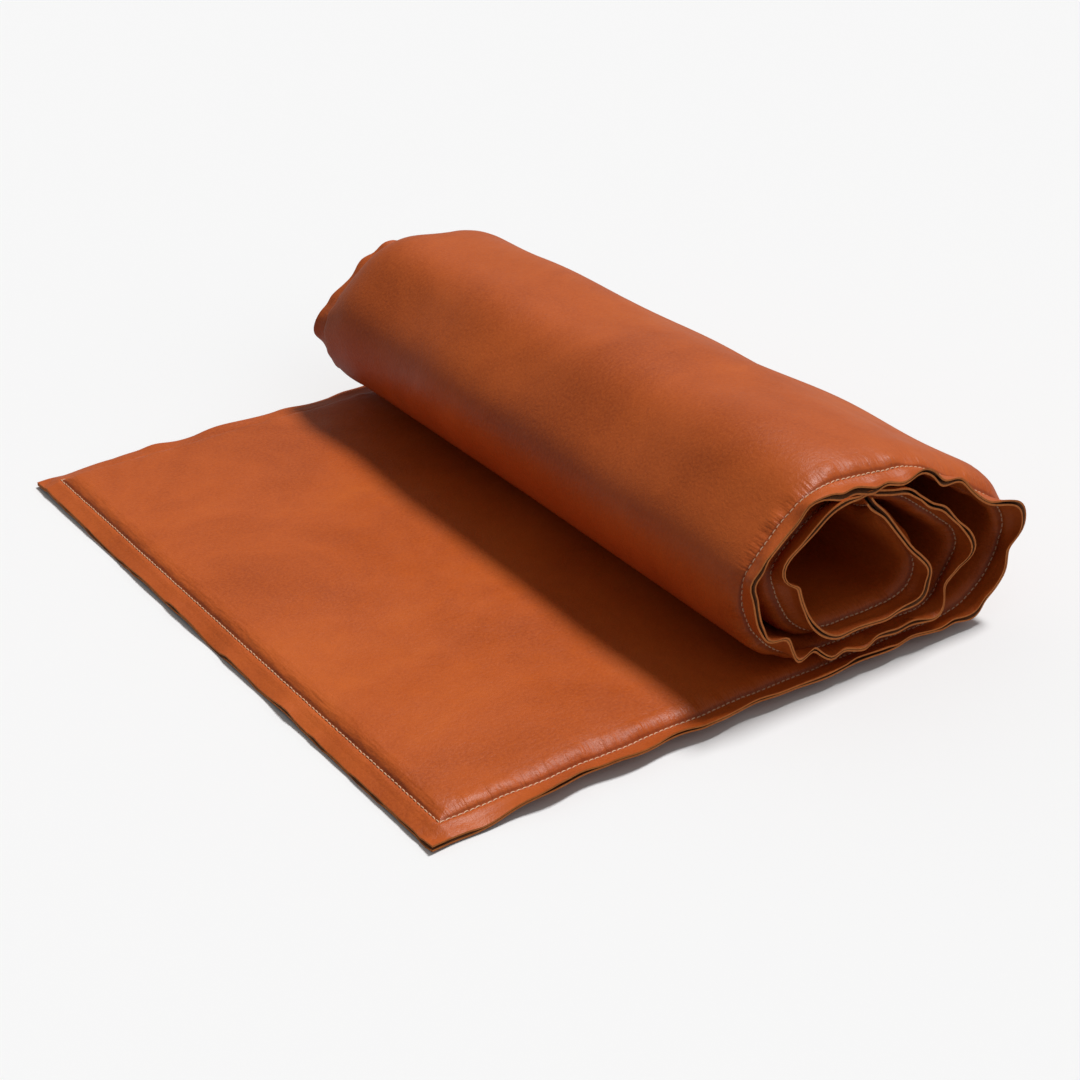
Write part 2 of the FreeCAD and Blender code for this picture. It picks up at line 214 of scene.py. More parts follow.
# how the edges and faces depart from the even mat
relief = {
    "flatRipple": 0.0010,  # height of a raw edge's ripples, and their wavelength below
    "flatWave": 0.055,
    "rollRipple": 0.0029,
    "rollWave": 0.040,
    "waveTurn": (0.0, 60.0),  # degrees of heading over which the flat wave becomes the roll's
    "rippleTurn": (5.0, 60.0),  # and the flat ripple the roll's
    "sharpness": 0.35,
    "secondWave": (0.25, 0.61, 1.0),  # its height, its turns in one of the first's, its start
    "phaseDrift": 1.1,  # how unevenly the ripples follow each other, in radians
    "phaseSize": 0.16,
    "uneven": (0.75, 0.3, 0.10),  # a ripple's usual height, how much that varies, over what length
    "marginCurve": 1.25,  # how the sway grows from the stitches to the raw edge
    "counterSway": (0.35, 0.009),  # of the shoulder against the margin: the most, and how far in
    "endRipple": 0.0008,
    "endSize": 0.09,
    "edgeWander": 0.0007,  # the cut isn't quite straight
    "wanderSize": 0.05,
    "wanderSteep": 12,
    "gap": 0.0016,  # between the two hides at the raw edge
    "gapSize": 0.08,
    "gapParts": (0.8, 0.1, 3.0),  # how open, what is taken off, how much shorter across the mat
    "gapCurve": 1.4,
    "pucker": 0.0004,
    "puckerSize": 0.016,
    "puckerApart": 0.3,  # keeps the two long edges' puckers unlike
    "puckerWaves": 5,
    "puckerPlace": (0.006, 0.005),  # inside the stitches: where, and how wide
    "bedSwell": 0.0006,
    "rollSwell": 0.0014,
    "swellSize": 0.16,
    "bedFades": (0.27, 0.33),  # the bed's swell by distance, the roll's by heading
    "rollGrows": (15.0, 50.0),
    "rollFades": (285.0, 320.0),
    "nearRise": 0.0045,  # of the near margin beside the flat part
    "farDroop": 0.0005,
    "frontDroop": 0.0046,
    "frontReach": (0.02, 0.10),  # the droop gives way to the rise between these distances
    "liftTurn": (0.0, 20.0),  # and the rise ends between these headings
    "nearSize": 0.035,  # the near end of the roll is this much longer than the middle
    "nearHeight": 0.040,
    "farShare": 0.4,  # the far end shrinks by this share of what the near end grows
    "sizeReach": 0.09,  # the growth sets in over this length of the turn
    "heightFrom": 0.02,  # its upward part starts above this height, and is full this much higher
    "heightOver": 0.06,
    # along the mat's heading in degrees: how far the raw edges lean inwards, and the body swells out
    "nearLean": (
        (0, 0), (45, 0.001), (66, 0.003), (84, 0.004), (98, -0.006), (122, -0.005),
        (150, -0.002), (165, -0.001), (175, 0.004), (190, -0.001), (215, -0.008), (230, -0.005),
        (247, -0.010), (264, -0.003), (290, -0.001), (312, 0.006), (345, 0.006), (362, 0),
        (395, 0.003), (425, 0.010), (458, 0), (500, -0.004), (533, -0.009), (555, -0.008),
        (604, -0.004), (635, 0.008), (658, 0.011), (690, 0.006), (720, 0), (760, -0.003),
        (810, -0.002), (854, 0.005),
    ),
    "farLean": (
        (0, 0), (60, 0), (120, -0.004), (147, -0.005), (155, -0.002), (165, 0.001), (175, 0.006),
        (187, 0.012), (234, 0.012), (255, 0.006), (290, 0), (331, -0.003), (350, 0.003), (365, 0),
    ),
    "swellOut": (
        (50, 0), (100, 0.004), (145, 0.009), (168, 0.006), (195, 0.0035), (219, 0.002),
        (245, -0.001), (290, 0),
    ),
    # the far half's own swell, on top of that
    "farTilt": (
        (165, 0), (190, 0.004), (212, 0.003), (228, -0.003), (255, -0.005), (286, -0.001), (310, 0),
    ),
    "nearReach": (0.004, 0.020),  # the lean fades out between these distances from the raw edge
    "farReach": (0.004, 0.060),
    "swellReach": (0.006, 0.045),  # and the swell sets in between these
    "tiltReach": (0.02, 0.15),  # the far half's tilt grows between these distances from the middle
    # how strong the ripples are by heading
    "rippleShare": (
        (0, 1.0), (50, 1.4), (75, 2.0), (110, 1.7), (150, 1.0), (180, 0.5), (250, 0.5), (290, 0.8),
        (340, 1.2), (400, 1.0), (500, 0.8), (650, 0.5), (854, 0.5),
    ),
    "tipReach": 0.025,  # how far the near corner of the tongue stretches and turns up
    "tipLift": -0.004,
    "tipFrom": 0.065,
    "tipAcross": 0.05,
    "floorClear": 0.0001,
}


def flutterPhase(seed):
    distance, heading = route[0], route[5]
    share = smoothStep(*relief["waveTurn"], heading)
    wave = relief["flatWave"] + (relief["rollWave"] - relief["flatWave"]) * share
    phase = np.cumsum(2 * math.pi / wave) * distance[1]
    return phase + relief["phaseDrift"] * softNoise(seed, distance, 0.0 * distance, relief["phaseSize"])


phases = {side: flutterPhase(seed) for side, seed in ((-1, seeds["near"]), (1, seeds["far"]))}


def tableAlong(name, softness):
    headings, sizes = zip(*relief[name])
    reach, weights = bell(softness, route[0][1], 3)
    values = np.pad(np.interp(route[5], headings, sizes), reach, mode="edge")
    return np.convolve(values, weights, mode="valid")


# over what length each table above is softened
tableSoftness = {
    "nearLean": 0.003,
    "farLean": 0.009,
    "swellOut": 0.012,
    "farTilt": 0.014,
    "rippleShare": 0.008,
}
tables = {name: tableAlong(name, softness) for name, softness in tableSoftness.items()}


def turnTable(name, s):
    return np.interp(s, route[0], tables[name])


def flutter(s, v):
    # ripples of the two long raw edges, along the mat's own normal
    heading = onRoute(s)[4]
    share = smoothStep(*relief["rippleTurn"], heading)
    height = relief["flatRipple"] + (relief["rollRipple"] - relief["flatRipple"]) * share
    usual, vary, size = relief["uneven"]
    secondHeight, secondTurns, secondStart = relief["secondWave"]
    ripple = 0.0
    for side in (-1, 1):
        phase = np.interp(s, route[0], phases[side])
        strength = usual + vary * softNoise(seeds["uneven"] + side, s, 0 * s, size)
        wave = np.sin(phase + relief["sharpness"] * np.sin(phase))
        wave = wave + secondHeight * np.sin(secondTurns * phase + secondStart)
        ripple = ripple + np.where(v * side > 0, wave * strength, 0.0)
    return ripple * height * turnTable("rippleShare", s)


def pillow(d):
    t = np.clip((d - mat["seam"]) / mat["shoulder"], 0.0, 1.0)
    return 1 - (1 - t) ** mat["crown"]


def edgeSway(s, v):
    # how far the unpadded margin leaves the middle of the mat, before the hides part
    side = halfWidth - np.abs(v)
    end = np.minimum(s, matLength - s)
    curve = relief["marginCurve"]
    counter, reach = relief["counterSway"]
    sideShare = np.clip(1 - side / mat["seam"], -counter, 1.0)
    counterSway = sideShare * np.exp(-((side - mat["seam"]) / reach) ** 2)
    sideShare = np.where(sideShare > 0, sideShare ** curve, counterSway)
    endShare = np.clip(1 - end / mat["seam"], 0.0, 1.0) ** curve
    heading = onRoute(s)[4]
    pastFront = smoothStep(*relief["frontReach"], s)
    droop = -relief["frontDroop"] * (1 - pastFront) * np.clip(sideShare + endShare, 0, 1)
    onEdge = np.clip(sideShare, 0, 1)
    near = turnTable("nearLean", s) * (1 - smoothStep(*relief["nearReach"], side))
    far = turnTable("farLean", s) * (1 - smoothStep(*relief["farReach"], side))
    body = turnTable("swellOut", s) + turnTable("farTilt", s) * smoothStep(*relief["tiltReach"], v)
    dip = np.where(v < 0, near, far) - body * smoothStep(*relief["swellReach"], side)
    laid = (1 - smoothStep(*relief["liftTurn"], heading)) * pastFront
    tilt = laid * onEdge * np.where(v < 0, relief["nearRise"], -relief["farDroop"])
    ends = relief["endRipple"] * softNoise(seeds["ends"], v, 0 * v, relief["endSize"]) * endShare
    return flutter(s, v) * sideShare + ends + droop + dip + tilt


def hideOffset(face, s, v, depth):
    # distance from the middle of the mat to a hide, along the normal: depth 0 outside, 1 inside
    side = halfWidth - np.abs(v)
    end = np.minimum(s, matLength - s)
    nearest = np.minimum(side, end)
    heading = onRoute(s)[4]
    body = pillow(side) * pillow(end)
    half = mat["flangeHalf"] + (mat["fullHalf"] - mat["flangeHalf"]) * body
    half = half - mat["groove"] * np.exp(-(((nearest - mat["seam"]) / mat["grooveWidth"]) ** 2))
    margin = np.clip(1 - nearest / mat["seam"], 0.0, 1.0)
    opens, shut, squeeze = relief["gapParts"]
    part = opens * softNoise(seeds["gap"] + face, s, squeeze * v, relief["gapSize"]) - shut
    part = np.clip(part, 0, 1)
    half = half + relief["gap"] * part * margin ** relief["gapCurve"]
    run = np.where(side < end, s, v)
    edge = np.sign(v) * relief["puckerApart"]
    tucks = softNoise(seeds["pucker"] + face, run, edge, relief["puckerSize"], relief["puckerWaves"])
    middle, width = relief["puckerPlace"]
    tucks = tucks * np.exp(-(((nearest - mat["seam"] - middle) / width) ** 2))
    half = half + relief["pucker"] * tucks
    swell = softNoise(seeds["swell"] + face, s, v, relief["swellSize"])
    if face > 0:
        free = (1 - smoothStep(*relief["bedFades"], s)) * relief["bedSwell"]
    else:
        free = smoothStep(*relief["rollGrows"], heading) * (1 - smoothStep(*relief["rollFades"], heading))
        free = free * relief["rollSwell"]
    half = half + free * swell * body
    half = np.where(depth == 1, np.maximum(half - mat["hide"], mat["pinched"]), half)
    return face * half + edgeSway(s, v)


pivotX = float(np.max(route[1]))


def place(s, v, offset):
    # from the flat mat to the rolled one, the near end of the roll a little bigger
    x, z, normalX, normalZ = onRoute(s)[:4]
    atEnd = smoothStep(matLength - relief["tipFrom"], matLength, s)
    corner = atEnd * smoothStep(relief["tipAcross"], 0.0, halfWidth + v)
    offset = offset + corner * relief["tipLift"]
    x = x + normalX * offset + normalZ * corner * relief["tipReach"]
    z = z + normalZ * offset - normalX * corner * relief["tipReach"]
    share = -v / halfWidth * np.where(v < 0, 1.0, relief["farShare"])
    share = share * smoothStep(0.0, relief["sizeReach"], s - turnStart)
    x = pivotX - (pivotX - x) * (1 + relief["nearSize"] * share)
    risen = np.clip((z - relief["heightFrom"]) / relief["heightOver"], 0, 1)
    z = z * (1 + relief["nearHeight"] * share * risen)
    steep = relief["wanderSteep"]
    onEdge = np.clip(np.abs(v) / halfWidth * steep - (steep - 1), 0, 1)
    wander = relief["edgeWander"] * softNoise(seeds["wander"], s, 0 * s, relief["wanderSize"]) * onEdge
    y = v + np.sign(v) * (wander - relief["edgeWander"])
    return np.stack(np.broadcast_arrays(x, y, np.maximum(z, relief["floorClear"])), axis=-1)


def stepped(breaks, pitch):
    points = []
    for a, b in zip(breaks, breaks[1:]):
        points.append(np.linspace(a, b, max(2, math.ceil((b - a) / pitch) + 1))[:-1])
    return np.concatenate(points + [[breaks[-1]]])


# rows of points in from a raw edge, closest at the stitches, in millimetres
edgeSteps = np.array([
    0, 1, 3, 5.5, 8, 10.5, 12.3, 13.4, 14.1, 14.8, 15.5,
    16.3, 17.3, 18.6, 20.3, 22.4, 25, 28, 32, 37, 42, 47,
]) / 1000
pitch = {"across": 0.009, "along": 0.0032}  # of the points over the padding
middleSteps = stepped([edgeSteps[-1], mat["width"] - edgeSteps[-1]], pitch["across"])[1:-1]
across = np.concatenate([edgeSteps, middleSteps, mat["width"] - edgeSteps[::-1]]) - halfWidth
rowBreaks = sorted([edgeSteps[-1], matLength - edgeSteps[-1]] + cuts[1:-1])
alongMiddle = stepped(rowBreaks, pitch["along"])
along = np.concatenate([edgeSteps[:-1], alongMiddle, matLength - edgeSteps[-2::-1]])
gridS, gridV = along[:, None], across[None, :]


def unit(vectors):
    return vectors / np.maximum(np.linalg.norm(vectors, axis=-1, keepdims=True), 1e-12)


def gridNormals(points):
    return unit(np.cross(np.gradient(points, axis=0), np.gradient(points, axis=1)))


def surface(face, depth):
    points = place(gridS, gridV, hideOffset(face, gridS, gridV, depth))
    return points, gridNormals(points) * face * (1 if depth == 0 else -1)


def rowOf(distance):
    return int(np.argmin(np.abs(along - distance)))


def squares(index, turned):
    a, b, c, d = index[:-1, :-1], index[1:, :-1], index[1:, 1:], index[:-1, 1:]
    corners = (a, d, c, b) if turned else (a, b, c, d)
    return np.stack(corners, axis=-1).reshape(-1, 4)


def buildMesh(name, points, patches, materials):
    # a patch is a grid of point numbers with its normals, its place on the flat mat, its material
    quads, normals, flats, kinds = [], [], [], []
    for index, normal, flat, kind, turned in patches:
        quads.append(squares(index, turned))
        corners = squares(np.arange(index.size).reshape(index.shape), turned)
        normals.append(normal.reshape(-1, 3)[corners].reshape(-1, 3))
        flats.append(flat.reshape(-1, 2)[corners].reshape(-1, 2))
        kinds.append(np.full(len(corners), kind))
    quads = np.concatenate(quads)
    mesh = bpy.data.meshes.new(name)
    mesh.vertices.add(len(points))
    mesh.vertices.foreach_set("co", points.astype(np.float32).ravel())
    mesh.loops.add(quads.size)
    mesh.loops.foreach_set("vertex_index", quads.astype(np.int32).ravel())
    mesh.polygons.add(len(quads))
    mesh.polygons.foreach_set("loop_start", np.arange(0, quads.size, 4, dtype=np.int32))
    mesh.polygons.foreach_set("material_index", np.concatenate(kinds).astype(np.int32))
    layer = mesh.uv_layers.new(name="flatMat")
    layer.data.foreach_set("uv", np.concatenate(flats).astype(np.float32).ravel())
    mesh.update(calc_edges=True)
    mesh.polygons.foreach_set("use_smooth", np.ones(len(quads), dtype=bool))
    mesh.normals_split_custom_set(np.concatenate(normals).tolist())
    mesh.update()
    for material in materials:
        mesh.materials.append(material)
    piece = bpy.data.objects.new(name, mesh)
    bpy.context.scene.collection.objects.link(piece)
    return piece


# each face and rim takes its own part of the patterns; whole twos, so that seamDistance can undo them
flatShift = {"bottom": 2.0, "inside": 4.0, "rim": 8.0}


def closedLayer(name, face, outer, inner, flat, materials):
    # two faces with a rim all round: outer and inner are (points, normals)
    rows, columns = outer[0].shape[:2]
    outside = np.arange(rows * columns).reshape(rows, columns)
    inside = outside + rows * columns
    points = np.concatenate([outer[0].reshape(-1, 3), inner[0].reshape(-1, 3)])
    patches = [
        (outside, outer[1], flat, 0, face < 0),
        (inside, inner[1], flat + flatShift["inside"], 2, face > 0),
    ]
    depth = np.array([0.0, mat["hide"]])
    thick = (outer[0] - inner[0]) * face
    for column, sign in ((0, 1), (-1, -1)):
        run = np.gradient(outer[0][:, column], axis=0)
        facing = unit(np.cross(run, thick[:, column])) * sign
        edgeFlat = np.stack(np.broadcast_arrays(flat[:, column, :1] + flatShift["rim"], depth), axis=-1)
        index = np.stack([outside[:, column], inside[:, column]], axis=-1)
        turned = (column == 0) == (face > 0)
        patches.append((index, np.stack([facing, facing], axis=1), edgeFlat, 1, turned))
    for row, sign in ((0, -1), (-1, 1)):
        run = np.gradient(outer[0][row], axis=0)
        facing = unit(np.cross(run, thick[row])) * sign
        edgeFlat = np.stack(np.broadcast_arrays(flat[row, :, 1:] + flatShift["rim"], depth), axis=-1)
        index = np.stack([outside[row], inside[row]], axis=-1)
        turned = (row == -1) == (face > 0)
        patches.append((index, np.stack([facing, facing], axis=1), edgeFlat, 1, turned))
    return buildMesh(name, points, patches, materials)


# the waxed thread: one bead for each stitch
thread = {
    "pitch": 0.0044,
    "halfLength": 0.0017,
    "radius": 0.00050,
    "sides": 6,
    # along a stitch: share of its half length, height above the hide, share of its radius
    "profile": (
        (-1.0, -0.0003, 0.4),
        (-0.72, 0.0003, 0.9),
        (0.0, 0.0005, 1.0),
        (0.72, 0.0003, 0.9),
        (1.0, -0.0003, 0.4),
    ),
    "wobble": 0.00008,
    "slant": 0.05,
    "upStep": 0.002,  # a short way off the hide, to find which way is up
}


def stitchCentres():
    # every stitch as (distance, across, turned along or across the mat)
    seam = mat["seam"]
    lines = []
    for edge in (-1, 1):
        s = np.arange(seam + thread["pitch"] / 2, matLength - seam, thread["pitch"])
        lines.append(np.stack([s, 0 * s + edge * (halfWidth - seam), 1 + 0 * s, 0 * s], axis=-1))
    for s in (seam, matLength - seam):
        v = np.arange(-halfWidth + seam + thread["pitch"] / 2, halfWidth - seam, thread["pitch"])
        lines.append(np.stack([s + 0 * v, v, 0 * v, 1 + 0 * v], axis=-1))
    stitches = np.concatenate(lines)
    wobble = np.random.default_rng(seeds["wobble"]).normal(0, thread["wobble"], (len(stitches), 2))
    slant = np.random.default_rng(seeds["slant"]).normal(0, thread["slant"], len(stitches))
    stitches[:, :2] += wobble
    turned = stitches[:, 2:].copy()
    stitches[:, 2] -= turned[:, 1] * slant
    stitches[:, 3] += turned[:, 0] * slant
    return stitches


def stitchPiece(name, stitches, material):
    profile = np.array(thread["profile"])
    ringCount, sides = len(profile), thread["sides"]
    points, patches = [], []
    for face in (1, -1):
        s = stitches[:, :1] + stitches[:, 2:3] * profile[:, 0] * thread["halfLength"]
        v = stitches[:, 1:2] + stitches[:, 3:4] * profile[:, 0] * thread["halfLength"]
        base = hideOffset(face, s, v, 0)
        centre = place(s, v, base + face * profile[:, 1])
        up = unit(place(s, v, base + face * thread["upStep"]) - place(s, v, base))
        run = unit(np.gradient(centre, axis=1))
        out = unit(np.cross(run, up))
        angles = np.arange(sides + 1) * 2 * math.pi / sides
        ringNormal = np.cos(angles)[:, None] * up[:, :, None] + np.sin(angles)[:, None] * out[:, :, None]
        rings = centre[:, :, None] + ringNormal * (thread["radius"] * profile[:, 2])[:, None, None]
        for bead, beadNormal in zip(rings, ringNormal):
            start = len(points) * ringCount * sides
            index = start + np.arange(ringCount * sides).reshape(ringCount, -1)
            index = np.concatenate([index, index[:, :1]], axis=1)
            points.append(bead[:, :-1].reshape(-1, 3))
            patches.append((index, beadNormal, np.zeros(beadNormal.shape[:2] + (2,)), 0, True))
            for ring, turned in ((0, False), (ringCount - 1, True)):
                # a six-sided end as two quads
                cap = index[ring][[[0, 1], [3, 2]]], index[ring][[[0, 3], [5, 4]]]
                tip = np.broadcast_to(beadNormal[ring, :1], (2, 2, 3))
                patches += [(part, tip, np.zeros((2, 2, 2)), 0, turned) for part in cap]
    return buildMesh(name, np.concatenate(points), patches, [material])


# the padding inside, which only shows if the hides are taken off
padding = {
    "full": 0.7,  # share of the room between the hides
    "edge": 0.0001,
    "setback": 0.005,
    "rim": 0.030,
    "pitch": 0.010,
    "pitchAcross": 0.018,
    "fill": 0.5,
}


def paddingPiece(name, low, high, material):
    reach = halfWidth - mat["seam"] - padding["setback"]
    inset = mat["seam"] + padding["setback"]
    s = stepped([max(low, inset), min(high, matLength - inset)], padding["pitch"])[:, None]
    rim = padding["rim"]
    v = stepped([-reach, rim - reach, reach - rim, reach], padding["pitchAcross"])[None, :]
    flat = np.stack(np.broadcast_arrays(s, v), axis=-1)
    layers = []
    for face in (1, -1):
        middle = edgeSway(s, v)
        room = face * (hideOffset(face, s, v, 1) - middle)
        half = np.maximum(room * padding["full"], padding["edge"])
        points = place(s, v, middle + face * half)
        layers.append((points, gridNormals(points) * face))
    return closedLayer(name, 1, layers[0], layers[1], flat, [material] * 3)


# colours and finishes, as plain linear numbers
finish = {
    "grain": ((0.37, 0.060, 0.006), (0.50, 0.092, 0.012), (0.59, 0.122, 0.017)),
    "paintedCreaseShade": (0.16, 0.022, 0.003),
    # painted shade: a dark colour laid into the crease along the stitch rows, where the steep shoulder is
    # in shade
    "paintedShadeStrength": 0.5,
    "cutEdge": ((0.66, 0.16, 0.026), (0.94, 0.30, 0.062)),
    "flesh": ((0.22, 0.075, 0.025), (0.34, 0.13, 0.05)),
    "thread": ((0.66, 0.38, 0.22), (0.84, 0.56, 0.36)),
    "wadding": ((0.66, 0.63, 0.56), (0.78, 0.75, 0.69)),
    "floor": 0.895,  # as the camera sees it
    "floorBounce": 0.30,  # as all other light meets it
    "roughness": (0.36, 0.50),
    "shine": 0.34,
    # the leather's noises as scale, detail, roughness, distortion
    "cloud": (6.0, 7.0, 0.66, 0.5),
    "mottle": (60.0, 5.0, 0.7, 0.5),
    "fleck": (420.0, 2.0, 0.6),
    "polish": (30.0, 5.0, 0.65),
    "wrinkle": (70.0, 5.0, 0.7, 1.2),
    "pebble": (420.0, 3.0, 0.6, 0.3),
    "folds": (190.0, 2.0, 0.6),
    "pores": 1100.0,
    "foldStretch": (1.0, 0.2, 1.0),
    "mottleShare": 0.35,
    "fleckShare": 0.5,
    # strength and depth in metres
    "wrinkleBump": (0.35, 0.0012),
    "foldBump": (0.9, 0.0016),
    "pebbleBump": (0.6, 0.0005),
    "poreBump": (0.2, 0.0002),
    "fibre": (5.0, 0.65, 0.4),  # the plain finishes' noise, after its scale
    "fibreStrength": 0.6,
    "cloudSpread": (0.35, 0.66),
    "paintedShadeBand": (0.0010, 0.0002, 0.0013),  # the painted shade's band from the stitches: middle, full within, gone beyond
    "foldBand": (0.003, 0.003, 0.011),
}


def newMaterial(name):
    material = bpy.data.materials.new(name)
    material.use_nodes = True
    tree = material.node_tree
    tree.nodes.clear()
    output = tree.nodes.new("ShaderNodeOutputMaterial")
    shader = tree.nodes.new("ShaderNodeBsdfPrincipled")
    tree.links.new(shader.outputs["BSDF"], output.inputs["Surface"])
    return material, tree, shader


def flatCoordinates(tree):
    node = tree.nodes.new("ShaderNodeUVMap")
    node.uv_map = "flatMat"
    return node.outputs["UV"]


def noise(tree, vector, scale, detail=2.0, roughness=0.5, distortion=0.0):
    node = tree.nodes.new("ShaderNodeTexNoise")
    node.inputs["Scale"].default_value = scale
    node.inputs["Detail"].default_value = detail
    node.inputs["Roughness"].default_value = roughness
    node.inputs["Distortion"].default_value = distortion
    tree.links.new(vector, node.inputs["Vector"])
    return node.outputs["Fac"]


def ramp(tree, value, colours, low=0.3, high=0.7):
    node = tree.nodes.new("ShaderNodeValToRGB")
    places = np.linspace(low, high, len(colours))
    while len(node.color_ramp.elements) < len(colours):
        node.color_ramp.elements.new(0.5)
    for element, position, colour in zip(node.color_ramp.elements, places, colours):
        element.position = position
        element.color = (*colour, 1.0)
    tree.links.new(value, node.inputs["Fac"])
    return node.outputs["Color"]


def blendColour(tree, share, colourA, colourB):
    node = tree.nodes.new("ShaderNodeMix")
    node.data_type = "RGBA"
    values = {0: share, 6: colourA, 7: colourB}  # by the node's own input numbers for colours
    for socket, value in ((node.inputs[number], value) for number, value in values.items()):
        if isinstance(value, (float, tuple)):
            socket.default_value = value if isinstance(value, float) else (*value, 1.0)
        else:
            tree.links.new(value, socket)
    return node.outputs[2]


def spread(tree, value, low, high, fromLow=0.3, fromHigh=0.7):
    node = tree.nodes.new("ShaderNodeMapRange")
    limits = {"From Min": fromLow, "From Max": fromHigh, "To Min": low, "To Max": high}
    for name, number in limits.items():
        node.inputs[name].default_value = number
    tree.links.new(value, node.inputs["Value"])
    return node.outputs["Result"]


def bump(tree, heights):
    # heights as (value, strength, depth in metres), one on the other
    normal = None
    for value, strength, depth in heights:
        node = tree.nodes.new("ShaderNodeBump")
        node.inputs["Strength"].default_value = strength
        node.inputs["Distance"].default_value = depth
        tree.links.new(value, node.inputs["Height"])
        if normal is not None:
            tree.links.new(normal, node.inputs["Normal"])
        normal = node.outputs["Normal"]
    return normal


def pores(tree, vector, scale):
    node = tree.nodes.new("ShaderNodeTexVoronoi")
    node.feature = "DISTANCE_TO_EDGE"
    node.inputs["Scale"].default_value = scale
    tree.links.new(vector, node.inputs["Vector"])
    return spread(tree, node.outputs["Distance"], 0.0, 1.0, fromLow=0.0, fromHigh=0.25)


def arithmetic(tree, kind, first, second=None):
    node = tree.nodes.new("ShaderNodeMath")
    node.operation = kind
    for socket, value in zip(node.inputs, (first, second)):
        if isinstance(value, float):
            socket.default_value = value
        elif value is not None:
            tree.links.new(value, socket)
    return node.outputs["Value"]


def seamDistance(tree, flat):
    # metres from the raw edge of either hide, less the margin outside the stitches
    parts = tree.nodes.new("ShaderNodeSeparateXYZ")
    tree.links.new(flat, parts.inputs["Vector"])
    fold = flatShift["bottom"]
    along = arithmetic(tree, "MODULO", parts.outputs["X"], fold)
    along = arithmetic(tree, "MINIMUM", along, arithmetic(tree, "SUBTRACT", float(matLength), along))
    across = arithmetic(tree, "MODULO", arithmetic(tree, "ADD", parts.outputs["Y"], fold / 2), fold)
    across = arithmetic(tree, "ABSOLUTE", arithmetic(tree, "SUBTRACT", across, fold / 2))
    across = arithmetic(tree, "SUBTRACT", halfWidth, across)
    return arithmetic(tree, "SUBTRACT", arithmetic(tree, "MINIMUM", along, across), mat["seam"])


def band(tree, value, middle, near, far):
    # 1 within near of the middle, 0 beyond far
    away = arithmetic(tree, "ABSOLUTE", arithmetic(tree, "SUBTRACT", value, middle))
    return spread(tree, away, 1.0, 0.0, near, far)


def seamTucks(tree, flat, seam):
    # short folds that cross the shoulder just inside the long seams
    squeezed = tree.nodes.new("ShaderNodeMapping")
    squeezed.inputs["Scale"].default_value = finish["foldStretch"]
    tree.links.new(flat, squeezed.inputs["Vector"])
    shortFolds = noise(tree, squeezed.outputs["Vector"], *finish["folds"])
    return arithmetic(tree, "MULTIPLY", shortFolds, band(tree, seam, *finish["foldBand"]))


def grainLeather():
    material, tree, shader = newMaterial("cognac grain leather")
    flat = flatCoordinates(tree)
    cloud, mottle, fleck = (noise(tree, flat, *finish[name]) for name in ("cloud", "mottle", "fleck"))
    colour = ramp(tree, cloud, finish["grain"], *finish["cloudSpread"])
    colour = blendColour(tree, spread(tree, mottle, 0.0, finish["mottleShare"]), colour, finish["grain"][0])
    colour = blendColour(tree, spread(tree, fleck, 0.0, finish["fleckShare"]), colour, finish["grain"][2])
    seam = seamDistance(tree, flat)
    # painted shade: the leather is darkened in a band along the stitch rows, standing in for the crease's
    # shade
    paintedShade = arithmetic(tree, "MULTIPLY", band(tree, seam, *finish["paintedShadeBand"]), finish["paintedShadeStrength"])
    colour = blendColour(tree, paintedShade, colour, finish["paintedCreaseShade"])
    tree.links.new(colour, shader.inputs["Base Color"])
    polish, wrinkle, pebble = (noise(tree, flat, *finish[name]) for name in ("polish", "wrinkle", "pebble"))
    tree.links.new(spread(tree, polish, *finish["roughness"]), shader.inputs["Roughness"])
    heights = [
        (wrinkle, *finish["wrinkleBump"]),
        (seamTucks(tree, flat, seam), *finish["foldBump"]),
        (pebble, *finish["pebbleBump"]),
        (pores(tree, flat, finish["pores"]), *finish["poreBump"]),
    ]
    tree.links.new(bump(tree, heights), shader.inputs["Normal"])
    shader.inputs["Specular IOR Level"].default_value = finish["shine"]
    return material


def plainFinish(name, colours, scale, roughness, depth):
    # an even finish, with fibres at this scale raised by this depth
    material, tree, shader = newMaterial(name)
    flat = flatCoordinates(tree)
    fibre = noise(tree, flat, scale, *finish["fibre"])
    tree.links.new(ramp(tree, fibre, colours), shader.inputs["Base Color"])
    tree.links.new(bump(tree, [(fibre, finish["fibreStrength"], depth)]), shader.inputs["Normal"])
    shader.inputs["Roughness"].default_value = roughness
    return material


grain = grainLeather()
cutEdge = plainFinish("raw cut edge", finish["cutEdge"], scale=420.0, roughness=0.72, depth=0.0004)
flesh = plainFinish("suede flesh side", finish["flesh"], scale=500.0, roughness=0.85, depth=0.0003)
waxedThread = plainFinish("waxed thread", finish["thread"], scale=900.0, roughness=0.55, depth=0.0001)
wadding = plainFinish("wadding", finish["wadding"], scale=160.0, roughness=0.9, depth=0.0010)
print("materials made")


flatMat = np.stack(np.broadcast_arrays(gridS, gridV), axis=-1)
layers = {face: (surface(face, 0), surface(face, 1)) for face in (1, -1)}
stitches = stitchCentres()
bendReach = 0.94  # share of half a strip on each side of a fold, for a bend's span that carry works out but does not use
rollNodes = 10  # the CAD model has the roll's hides as this many pieces and an end
bendFrom = {"front": mat["frontStrip"] / 2, "turn": (folds[firstTurn + 1] - turnStart) / 2}


def cadNodes(strip, kind):
    if strip == "roll" and kind != "padding":
        return [f"roll_{n}_{kind}" for n in range(1, rollNodes + 1)] + [f"roll_end_{kind}"]
    return [f"{strip}_{kind}"]


def carry(piece, number):
    # the last stretch rides on the roll's body, the others are baked where they lie; a bend's span is
    # worked out but not used
    if number == len(folds):
        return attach(piece, "roll")
    kind = foldNames[number].split("_")[0]
    low = folds[number] - bendFrom[kind] * bendReach
    high = folds[number] + bendFrom[kind] * bendReach
    ends = [Vector((*place(d, 0.0, 0.0).ravel(),)) for d in (low, high)]
    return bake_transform(piece)


